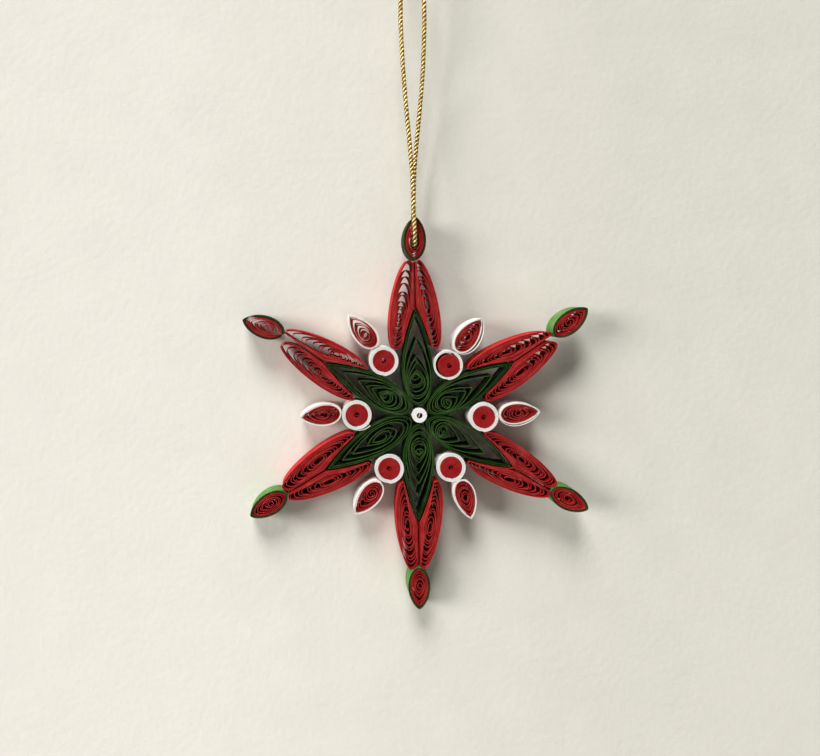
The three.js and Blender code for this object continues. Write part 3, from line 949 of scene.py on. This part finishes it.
clear = plaster_tree.nodes.new("ShaderNodeBsdfTransparent")
either = plaster_tree.nodes.new("ShaderNodeMixShader")
ray = plaster_tree.nodes.new("ShaderNodeLightPath")
facing = plaster_tree.nodes.new("ShaderNodeNewGeometry")
hidden = larger_of(plaster_tree, facing.outputs["Backfacing"], ray.outputs["Is Shadow Ray"])
plaster_tree.links.new(hidden, either.inputs["Fac"])
plaster_tree.links.new(plaster_shader.outputs[0], either.inputs[1])
plaster_tree.links.new(clear.outputs[0], either.inputs[2])
plaster_out = plaster_tree.nodes["Material Output"]
plaster_tree.links.new(either.outputs[0], plaster_out.inputs["Surface"])
print("plaster is clear from behind and lets light through")

# %% Floor board
FLOOR_SHOWN, FLOOR_THROWN = (188, 186, 181), (136, 134, 130)
FLOOR_ROUGHNESS = 0.8

board, board_tree, board_shader = new_finish("floor_board")
board_shader.inputs["Roughness"].default_value = FLOOR_ROUGHNESS
bounce = board_tree.nodes.new("ShaderNodeLightPath")
board_colour = two_colours(board_tree, bounce.outputs["Is Diffuse Ray"])
board_colour.inputs["A"].default_value = linear(*FLOOR_SHOWN)
board_colour.inputs["B"].default_value = linear(*FLOOR_THROWN)
board_tree.links.new(board_colour.outputs["Result"], board_shader.inputs["Base Color"])
print("floor board shows", FLOOR_SHOWN, "and throws back", FLOOR_THROWN)

# %% Wall and floor
WALL_BEHIND, WALL_LEAN_X, WALL_LEAN_Z = 4.6 * MM, 0.036, 0.024
WALL_WIDTH, WALL_HEIGHT = 1, 0.7
FLOOR_BELOW, FLOOR_SIDE = 0.26, 6


def stage_plane(name, corner, side, up, finish):
    sheet = bmesh.new()
    bmesh.ops.create_grid(sheet, x_segments=1, y_segments=1, size=0.5)
    for vert in sheet.verts:
        vert.co = corner + side * (vert.co.x + 0.5) + up * (vert.co.y + 0.5)
    data = bpy.data.meshes.new(name)
    sheet.to_mesh(data)
    sheet.free()
    data.materials.append(finish)
    plane = show(name, data)
    return plane


wall_foot = (WALL_BEHIND - WALL_WIDTH / 2 * WALL_LEAN_X
             - (FLOOR_BELOW + flake_centre.z) * WALL_LEAN_Z)
wall = stage_plane("wall", Vector((-WALL_WIDTH / 2, wall_foot, -FLOOR_BELOW)),
                   Vector((WALL_WIDTH, WALL_WIDTH * WALL_LEAN_X, 0)),
                   Vector((0, WALL_HEIGHT * WALL_LEAN_Z, WALL_HEIGHT)), plaster)
stage_plane("floor", Vector((-FLOOR_SIDE / 2, -FLOOR_SIDE / 2, -FLOOR_BELOW)),
            Vector((FLOOR_SIDE, 0, 0)), Vector((0, FLOOR_SIDE, 0)), board)
print("wall faces", tuple(round(n) for n in wall.data.polygons[0].normal))

# %% [markdown]
# ## Light
#
# The light is soft and comes from above and from the left, low over the wall, so the shadows fall
# to the right and down. Area lamps near by would light one side of the wall more than the other.
# Suns with a wide angle light it evenly and still give soft shadows. A third sun lights the back
# for someone who looks at it, and it lights nothing else. The room itself is almost dark, but it
# looks pale where it is seen or mirrored.

# %% Room
ROOM_COLOUR = (0.92, 0.92, 0.88, 1)
ROOM_LEVEL = (0.04, 0.9)

world = bpy.data.worlds.new("room")
world.use_nodes = True
room = world.node_tree
background = room.nodes["Background"]
background.inputs["Color"].default_value = ROOM_COLOUR
seen_by = room.nodes.new("ShaderNodeLightPath")
looked_at = larger_of(room, seen_by.outputs["Is Camera Ray"], seen_by.outputs["Is Glossy Ray"])
level = stretched(room, looked_at, wanted=ROOM_LEVEL)
room.links.new(level, background.inputs["Strength"])
scene.world = world
scene.view_settings.view_transform = "Standard"
print("room lights at", ROOM_LEVEL[0], "and is seen at", ROOM_LEVEL[1])

# %% Lamps
def far_lamp(name, place, spread, strength, tint):
    """A sun in the direction of a place, which looks as wide as the spread in degrees."""
    lamp = bpy.data.lights.new(name, "SUN")
    lamp.angle = math.radians(spread)
    lamp.energy = strength
    lamp.color = tint
    holder = show(name, lamp)
    holder.rotation_euler = (-Vector(place)).to_track_quat("-Z", "Y").to_euler()
    return lamp


far_lamp("ceiling_light", (-0.5, -1.2, 2.4), spread=26, strength=3.18, tint=(0.99, 0.99, 0.97))
far_lamp("window_light", (-2.3, -1.3, 0.5), spread=24, strength=2.5, tint=(1, 0.98, 0.95))
back_light = far_lamp("back_light", (0, 1, 0), spread=1, strength=2.4, tint=(1, 1, 1))

# %% Back light
AFTER_FIRST_HIT = 1.5

back_light.use_nodes = True
glow = back_light.node_tree
path_of_ray = glow.nodes.new("ShaderNodeLightPath")
first_hit = glow.nodes.new("ShaderNodeMath")
first_hit.operation = "LESS_THAN"
first_hit.inputs[1].default_value = AFTER_FIRST_HIT
glow.links.new(path_of_ray.outputs["Ray Depth"], first_hit.inputs[0])
glow.links.new(first_hit.outputs[0], glow.nodes["Emission"].inputs["Strength"])
print("back light counts only where a ray first hits")
